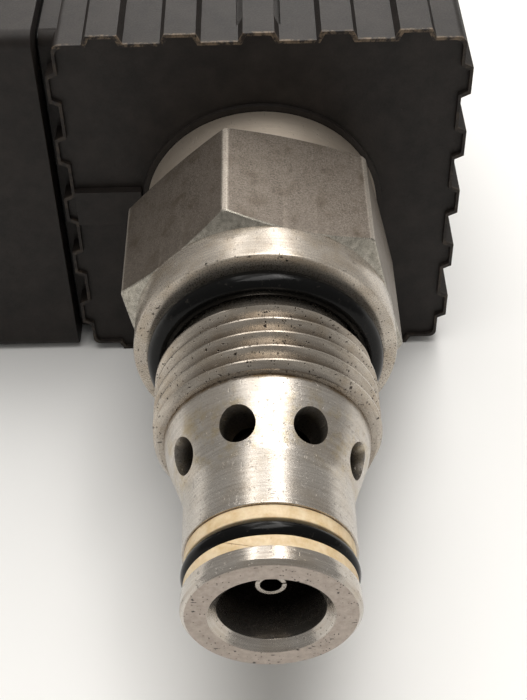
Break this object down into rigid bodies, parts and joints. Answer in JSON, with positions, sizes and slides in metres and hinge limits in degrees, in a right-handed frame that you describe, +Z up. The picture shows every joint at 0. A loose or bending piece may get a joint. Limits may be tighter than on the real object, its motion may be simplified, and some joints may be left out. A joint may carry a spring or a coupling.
{
  "type": "screw-in solenoid cartridge valve",
  "caption": "Screw-in solenoid cartridge valve: ported nose, threaded hex body, black ribbed coil with a side terminal box.",
  "frame": {"origin": "on the valve axis, in the plane of the seat face under the flange", "axes": "+Y along the valve axis from the nose to the coil, +Z up, +X away from the terminal box"},
  "size_m": [0.0692, 0.1152, 0.0456],
  "materials": {
    "steel": "turned zinc-nickel steel, lightly stained",
    "hex_steel": "dull grey-brown steel, etched and handled",
    "tube_steel": "drawn stainless tube",
    "spring_steel": "bright spring wire",
    "core_iron": "soft magnetic steel, turned",
    "ptfe": "cream backup ring plastic, oil stained",
    "black_rubber": "black nitrile",
    "coil_plastic": "black moulded resin",
    "bobbin_plastic": "glass filled nylon",
    "block_plastic": "cream moulded plastic",
    "copper": "enamelled copper wire",
    "brass": "plain brass",
    "zinc_screw": "zinc plated steel",
    "earth_green": "green passivated steel",
    "red_wire": "red silicone wire"
  },
  "bodies": {
    "valve_body": {"cage": "steel", "hex_adapter": "hex_steel", "lower_backup_ring": "ptfe", "nose_o_ring": "black_rubber", "upper_backup_ring": "ptfe", "seat_o_ring": "black_rubber", "core_tube": "tube_steel", "tube_o_ring": "black_rubber", "pole_piece": "core_iron", "tube_plug": "tube_steel", "coil_o_ring": "black_rubber", "coil_nut": "steel", "nut_o_ring": "black_rubber", "main_spring": "spring_steel", "armature_spring": "spring_steel"},
    "coil": {"coil_housing": "coil_plastic", "bobbin": "bobbin_plastic", "winding": "copper", "flux_sleeve": "core_iron", "lower_flux_washer": "core_iron", "upper_flux_washer": "core_iron", "neck_gasket": "black_rubber", "terminal_box": "coil_plastic", "box_screws": "zinc_screw", "terminal_block": "block_plastic", "terminal_screws": "brass", "earth_screw": "earth_green", "coil_leads": "red_wire", "lid_gasket": "black_rubber", "box_lid": "coil_plastic", "lid_screws": "zinc_screw"},
    "armature_unit": {"armature": "core_iron", "push_pin": "tube_steel"},
    "poppet_unit": {"main_poppet": "steel", "poppet_nozzle": "steel"}
  },
  "joints": [
    {"name": "coil_swivel", "type": "hinge", "parent": "valve_body", "child": "coil", "pos_m": [0, 0.04925, 0], "axis": [0, 1, 0], "continuous": true},
    {"name": "armature_stroke", "type": "slide", "parent": "valve_body", "child": "armature_unit", "axis": [0, 1, 0], "range_m": [-0.0016, 0], "stiffness_N_per_m": 3000, "springref_m": 0.003, "deforming": ["armature_spring"]},
    {"name": "poppet_lift", "type": "slide", "parent": "valve_body", "child": "poppet_unit", "axis": [0, 1, 0], "range_m": [0, 0.0016], "stiffness_N_per_m": 800, "springref_m": -0.002, "deforming": ["main_spring"]}
  ]
}
